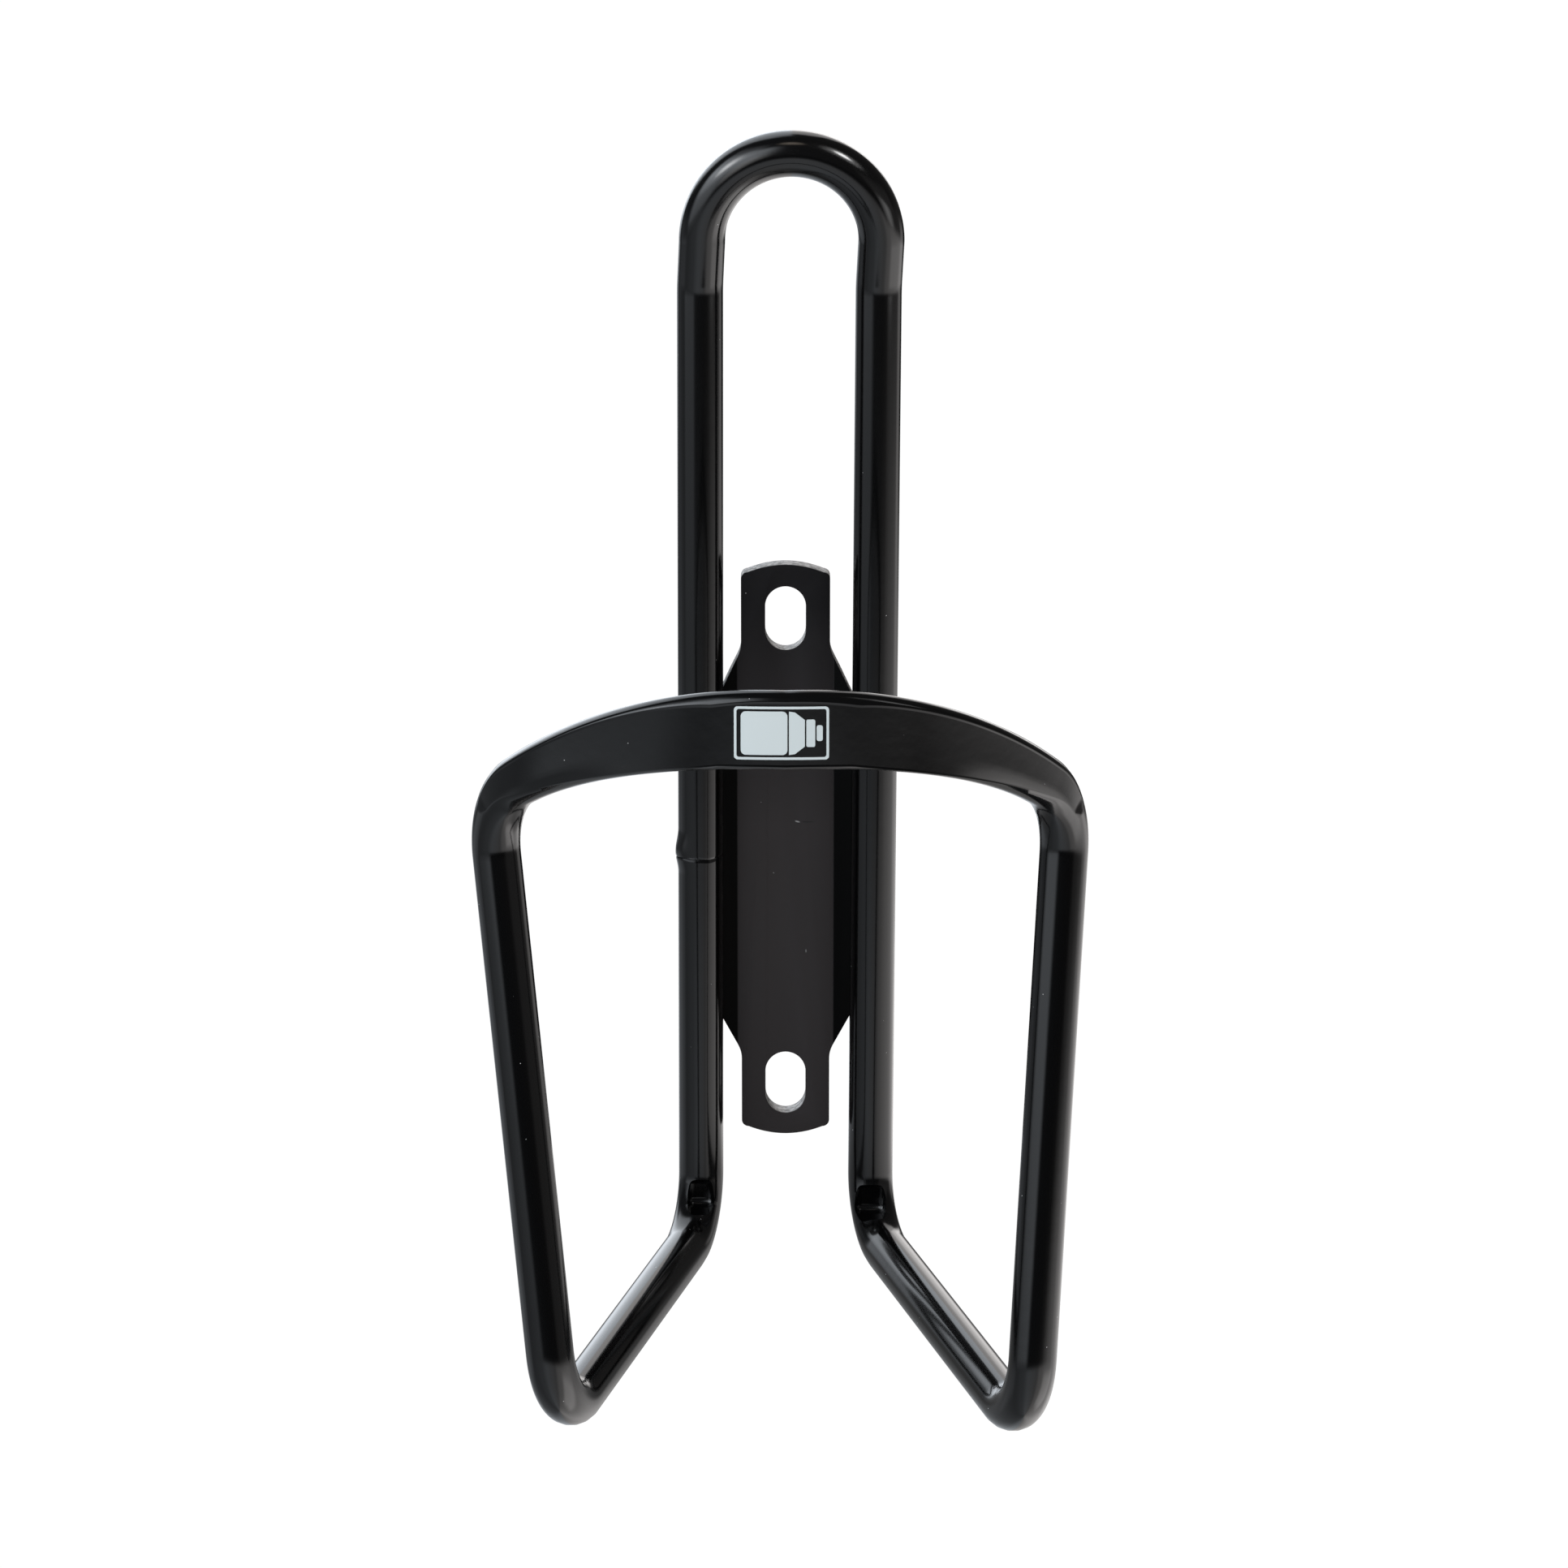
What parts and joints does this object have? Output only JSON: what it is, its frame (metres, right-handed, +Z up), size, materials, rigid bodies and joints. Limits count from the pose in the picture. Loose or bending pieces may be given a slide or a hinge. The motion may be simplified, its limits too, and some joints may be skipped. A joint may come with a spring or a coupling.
{
  "type": "water bottle cage",
  "caption": "Bent-tube bicycle bottle cage: twin rails, sprung top loop, base bars, legs and a flattened front hoop around a slotted mounting plate.",
  "frame": {"origin": "middle of the mounting plate's back face, halfway between the two slots", "axes": "+Z up along the rails, +Y out of the back face towards the bicycle's frame tube, -Y towards the hoop, +X to the right when looking at the hoop from the front, along +Y"},
  "size_m": [0.0752, 0.0836, 0.1563],
  "materials": {
    "gloss_black_paint": "gloss",
    "satin_black_paint": "satin",
    "bare_aluminium": "plain drawn",
    "pale_print": "printed label"
  },
  "bodies": {
    "root": {"cage_tube": "gloss_black_paint", "joint_spigot": "bare_aluminium", "butt_weld": "gloss_black_paint", "mounting_plate": "satin_black_paint", "plate_weld_upper_left": "gloss_black_paint", "plate_weld_upper_right": "gloss_black_paint", "plate_weld_lower_left": "gloss_black_paint", "plate_weld_lower_right": "gloss_black_paint", "front_decal": "pale_print"}
  },
  "joints": []
}
